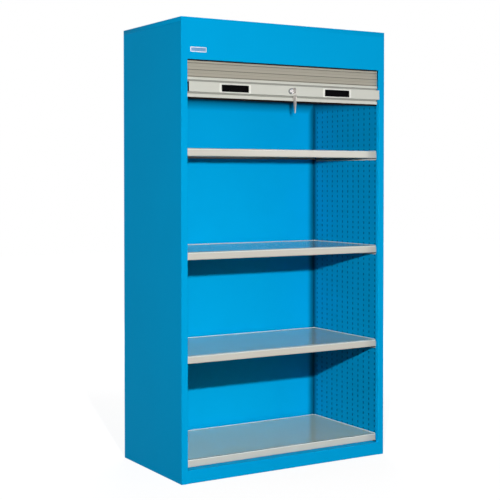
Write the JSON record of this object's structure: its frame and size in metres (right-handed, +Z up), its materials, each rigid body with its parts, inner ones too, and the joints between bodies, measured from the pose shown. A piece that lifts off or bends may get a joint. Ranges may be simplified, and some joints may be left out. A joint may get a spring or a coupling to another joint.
{
  "type": "roller shutter cabinet",
  "caption": "Tall steel cabinet with shelves hung on perforated side linings and a lockable slatted shutter that rolls down in front.",
  "frame": {"origin": "on the floor at the middle of the carcass, which is the middle of the four floor anchor holes", "axes": "+X to the right seen from the front, +Y to the back, +Z up"},
  "size_m": [1.085, 0.6284, 2],
  "materials": {
    "blue_enamel": "smooth satin powder coat",
    "grey_enamel": "smooth satin powder coat",
    "slat_aluminium": "coated, ribbed",
    "bar_aluminium": "coated extrusion",
    "galvanised_steel": "zinc plated",
    "spring_steel": "oiled",
    "black_rubber": "matte",
    "white_plate": "bare",
    "nylon": "moulded",
    "dark_plastic": "moulded",
    "grip_plastic": "moulded",
    "black_plastic": "moulded",
    "chrome": "polished",
    "nickel_key": "nickel plated"
  },
  "bodies": {
    "cabinet": {"left_side_panel": "blue_enamel", "right_side_panel": "blue_enamel", "back_panel": "blue_enamel", "roof_panel": "blue_enamel", "front_fascia": "blue_enamel", "plinth": "blue_enamel", "left_base_rail": "blue_enamel", "right_base_rail": "blue_enamel", "rear_base_rail": "blue_enamel", "left_perforated_lining": "blue_enamel", "right_perforated_lining": "blue_enamel", "left_guide": "blue_enamel", "right_guide": "blue_enamel", "bottom_shelf": "grey_enamel", "shelf_1": "grey_enamel", "shelf_2": "grey_enamel", "shelf_3": "grey_enamel", "shelf_1_brackets": "grey_enamel", "shelf_2_brackets": "grey_enamel", "shelf_3_brackets": "grey_enamel", "slats_8": "slat_aluminium", "strike_plates": "galvanised_steel", "back_rivets": "galvanised_steel", "left_drum_bracket": "galvanised_steel", "right_drum_bracket": "galvanised_steel", "bracket_screws": "galvanised_steel", "drum_axle": "galvanised_steel", "spring_anchor": "galvanised_steel", "curtain_hangers": "galvanised_steel", "torsion_spring": "spring_steel", "stop_blocks": "black_rubber", "fascia_seal": "black_rubber", "label_plate": "white_plate"},
    "shutter": {"shutter_bar": "bar_aluminium", "left_bar_cap": "dark_plastic", "right_bar_cap": "dark_plastic", "bottom_seal": "black_rubber", "grip_frames": "grip_plastic", "grip_cups": "black_plastic", "rod_guides": "nylon", "lock_housing": "chrome", "lock_nut": "galvanised_steel", "slats_1": "slat_aluminium"},
    "curtain_2": {"slats_2": "slat_aluminium"},
    "curtain_3": {"slats_3": "slat_aluminium"},
    "curtain_4": {"slats_4": "slat_aluminium"},
    "curtain_5": {"slats_5": "slat_aluminium"},
    "curtain_6": {"slats_6": "slat_aluminium"},
    "curtain_7": {"slats_7": "slat_aluminium"},
    "drum": {"drum_tube": "galvanised_steel", "drum_bushes": "nylon", "drum_discs": "galvanised_steel", "spring_plug": "galvanised_steel"},
    "lock": {"lock_cylinder": "chrome", "lock_cam": "galvanised_steel"},
    "key": {"lock_key": "nickel_key"},
    "key_ring": {"key_ring": "nickel_key", "hanging_key": "nickel_key"},
    "left_rod": {"left_lock_rod": "galvanised_steel"},
    "right_rod": {"right_lock_rod": "galvanised_steel"}
  },
  "joints": [
    {"name": "shutter_slide", "type": "slide", "parent": "cabinet", "child": "shutter", "axis": [0, 0, -1], "range_m": [0, 1.596]},
    {"name": "curtain_2_slide", "type": "slide", "parent": "cabinet", "child": "curtain_2", "axis": [0, 0, -1], "range_m": [0, 1.368]},
    {"name": "curtain_3_slide", "type": "slide", "parent": "cabinet", "child": "curtain_3", "axis": [0, 0, -1], "range_m": [0, 1.14]},
    {"name": "curtain_4_slide", "type": "slide", "parent": "cabinet", "child": "curtain_4", "axis": [0, 0, -1], "range_m": [0, 0.912]},
    {"name": "curtain_5_slide", "type": "slide", "parent": "cabinet", "child": "curtain_5", "axis": [0, 0, -1], "range_m": [0, 0.684]},
    {"name": "curtain_6_slide", "type": "slide", "parent": "cabinet", "child": "curtain_6", "axis": [0, 0, -1], "range_m": [0, 0.456]},
    {"name": "curtain_7_slide", "type": "slide", "parent": "cabinet", "child": "curtain_7", "axis": [0, 0, -1], "range_m": [0, 0.228]},
    {"name": "drum_turn", "type": "hinge", "parent": "cabinet", "child": "drum", "pos_m": [0, -0.1595, 1.905], "axis": [1, 0, 0], "range_deg": [0, 1800]},
    {"name": "lock_turn", "type": "hinge", "parent": "shutter", "child": "lock", "pos_m": [0.01, -0.3035, 1.7028], "axis": [0, 1, 0], "range_deg": [0, 93]},
    {"name": "key_pull", "type": "slide", "parent": "lock", "child": "key", "axis": [0, -1, 0], "range_m": [0, 0.03]},
    {"name": "key_ring_swing", "type": "hinge", "parent": "key", "child": "key_ring", "pos_m": [0.01, -0.326, 1.69405], "axis": [0, 1, 0], "range_deg": [-93, 0]},
    {"name": "left_rod_slide", "type": "slide", "parent": "shutter", "child": "left_rod", "axis": [-1, 0, 0], "range_m": [0, 0.015]},
    {"name": "right_rod_slide", "type": "slide", "parent": "shutter", "child": "right_rod", "axis": [1, 0, 0], "range_m": [0, 0.0165]}
  ],
  "couplings": [
    {"joint": "curtain_2_slide", "follows": "shutter_slide", "ratio": 0.85714},
    {"joint": "curtain_3_slide", "follows": "shutter_slide", "ratio": 0.71429},
    {"joint": "curtain_4_slide", "follows": "shutter_slide", "ratio": 0.57143},
    {"joint": "curtain_5_slide", "follows": "shutter_slide", "ratio": 0.42857},
    {"joint": "curtain_6_slide", "follows": "shutter_slide", "ratio": 0.28571},
    {"joint": "curtain_7_slide", "follows": "shutter_slide", "ratio": 0.14286},
    {"joint": "drum_turn", "follows": "shutter_slide", "rad_per_m": 19.6},
    {"joint": "key_ring_swing", "follows": "left_rod_slide", "rad_per_m": -104.72},
    {"joint": "lock_turn", "follows": "left_rod_slide", "rad_per_m": 104.72},
    {"joint": "right_rod_slide", "follows": "left_rod_slide", "ratio": 1}
  ]
}
